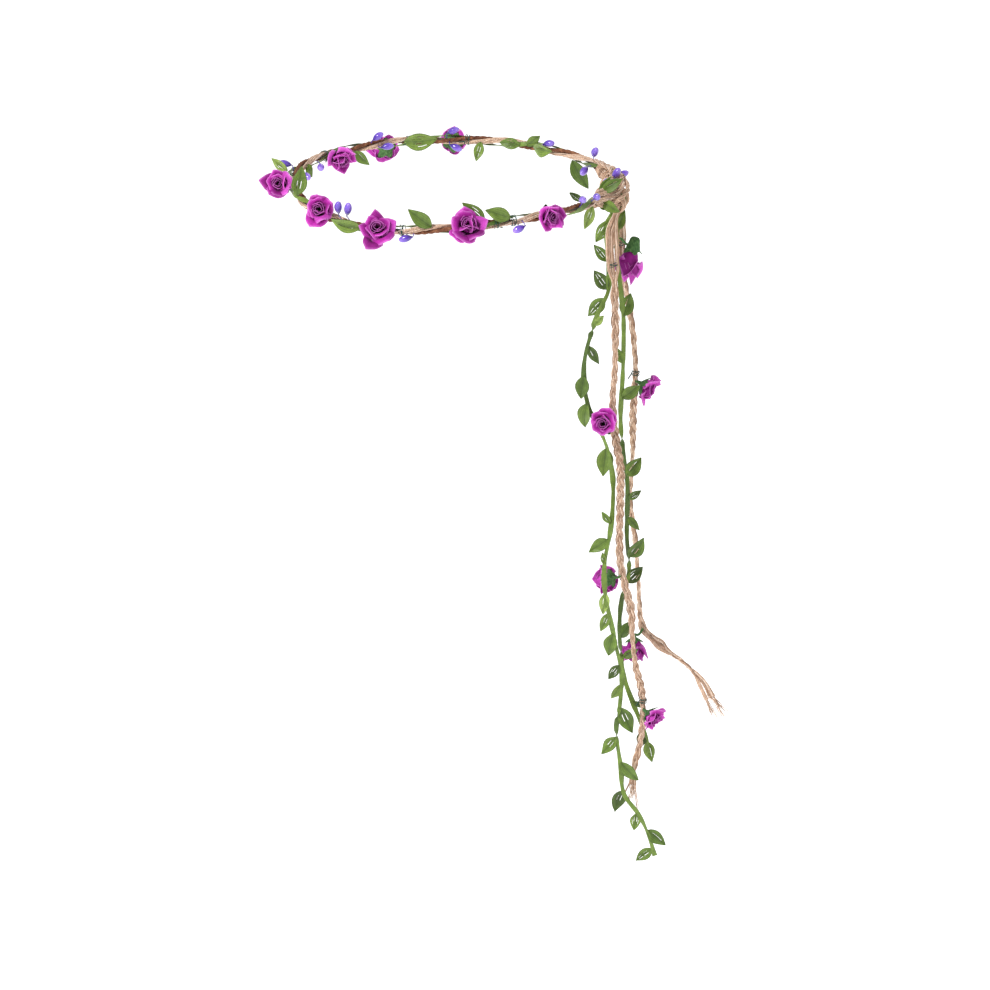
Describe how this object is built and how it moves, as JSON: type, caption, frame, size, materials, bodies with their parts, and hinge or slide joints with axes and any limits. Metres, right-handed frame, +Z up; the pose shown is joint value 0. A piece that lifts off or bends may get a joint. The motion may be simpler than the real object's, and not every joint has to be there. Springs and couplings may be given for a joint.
{
  "type": "flower crown",
  "caption": "Head wreath of twisted jute, vine cord and leaf ribbon with paper roses and glossy buds, and braided and leafy tails hanging from a knot at one side.",
  "frame": {"origin": "centre of the ring, at the height of its centre line, where the wearer's head passes through", "axes": "+Z up, +X from the ring's centre to the knot that the tails hang from"},
  "size_m": [0.2635, 0.2127, 0.4266],
  "materials": {
    "jute": "matt natural fibre",
    "brown_cord": "matt paper-wrapped",
    "leaf_ribbon": "satin",
    "core_wire": "dull",
    "floral_wire": "dull paper-covered",
    "paper_petals": "matt paper",
    "green_calyx": "matt paper tape",
    "glossy_buds": "gloss lacquer"
  },
  "bodies": {
    "crown": {"core_wire": "core_wire", "brown_cord": "brown_cord", "jute_strand": "jute", "ribbon_strand": "leaf_ribbon", "ring_ties": "floral_wire", "ring_leaves_front": "leaf_ribbon", "ring_leaves_back": "leaf_ribbon", "buds_left": "glossy_buds", "buds_front_left": "glossy_buds", "bud_front_right": "glossy_buds", "buds_knot_front": "glossy_buds", "buds_knot_back": "glossy_buds", "buds_back": "glossy_buds", "rose_left": "paper_petals", "rose_front_left": "paper_petals", "rose_front": "paper_petals", "rose_front_centre": "paper_petals", "rose_front_right": "paper_petals", "rose_back_left": "paper_petals", "rose_back": "paper_petals", "rose_back_centre": "paper_petals", "calyx_left": "green_calyx", "calyx_front_left": "green_calyx", "calyx_front": "green_calyx", "calyx_front_centre": "green_calyx", "calyx_front_right": "green_calyx", "calyx_back_left": "green_calyx", "calyx_back": "green_calyx", "calyx_back_centre": "green_calyx", "knot_bar": "jute", "knot_lashing": "jute"},
    "long_braid_tail": {"long_braid_loop": "jute", "long_braid": "jute", "long_braid_fray": "jute", "long_braid_ties": "floral_wire", "rose_long_upper": "paper_petals", "rose_long_middle": "paper_petals", "rose_long_lower": "paper_petals", "calyx_long_upper": "green_calyx", "calyx_long_middle": "green_calyx", "calyx_long_lower": "green_calyx"},
    "long_vine_tail": {"long_vine_loop": "leaf_ribbon", "long_vine": "leaf_ribbon", "long_vine_leaves": "leaf_ribbon"},
    "short_braid_tail": {"short_braid_loop": "jute", "short_braid": "jute", "short_braid_fray": "jute", "short_braid_ties": "floral_wire", "rose_short_upper": "paper_petals", "rose_short_middle": "paper_petals", "rose_short_lower": "paper_petals", "calyx_short_upper": "green_calyx", "calyx_short_middle": "green_calyx", "calyx_short_lower": "green_calyx"},
    "short_vine_tail": {"short_vine_loop": "leaf_ribbon", "short_vine": "leaf_ribbon", "short_vine_leaves": "leaf_ribbon"}
  },
  "joints": [
    {"name": "long_braid_swing", "type": "hinge", "parent": "crown", "child": "long_braid_tail", "pos_m": [0.097, -0.0063, -0.006], "axis": [0, -1, 0], "range_deg": [-30, 60]},
    {"name": "long_vine_swing", "type": "hinge", "parent": "crown", "child": "long_vine_tail", "pos_m": [0.097, -0.0024, -0.006], "axis": [0, -1, 0], "range_deg": [-30, 60]},
    {"name": "short_braid_swing", "type": "hinge", "parent": "crown", "child": "short_braid_tail", "pos_m": [0.097, 0.0046, -0.006], "axis": [0, -1, 0], "range_deg": [-30, 60]},
    {"name": "short_vine_swing", "type": "hinge", "parent": "crown", "child": "short_vine_tail", "pos_m": [0.097, 0.0006, -0.006], "axis": [0, -1, 0], "range_deg": [-30, 60]}
  ],
  "couplings": [
    {"joint": "long_vine_swing", "follows": "long_braid_swing", "ratio": 1}
  ]
}
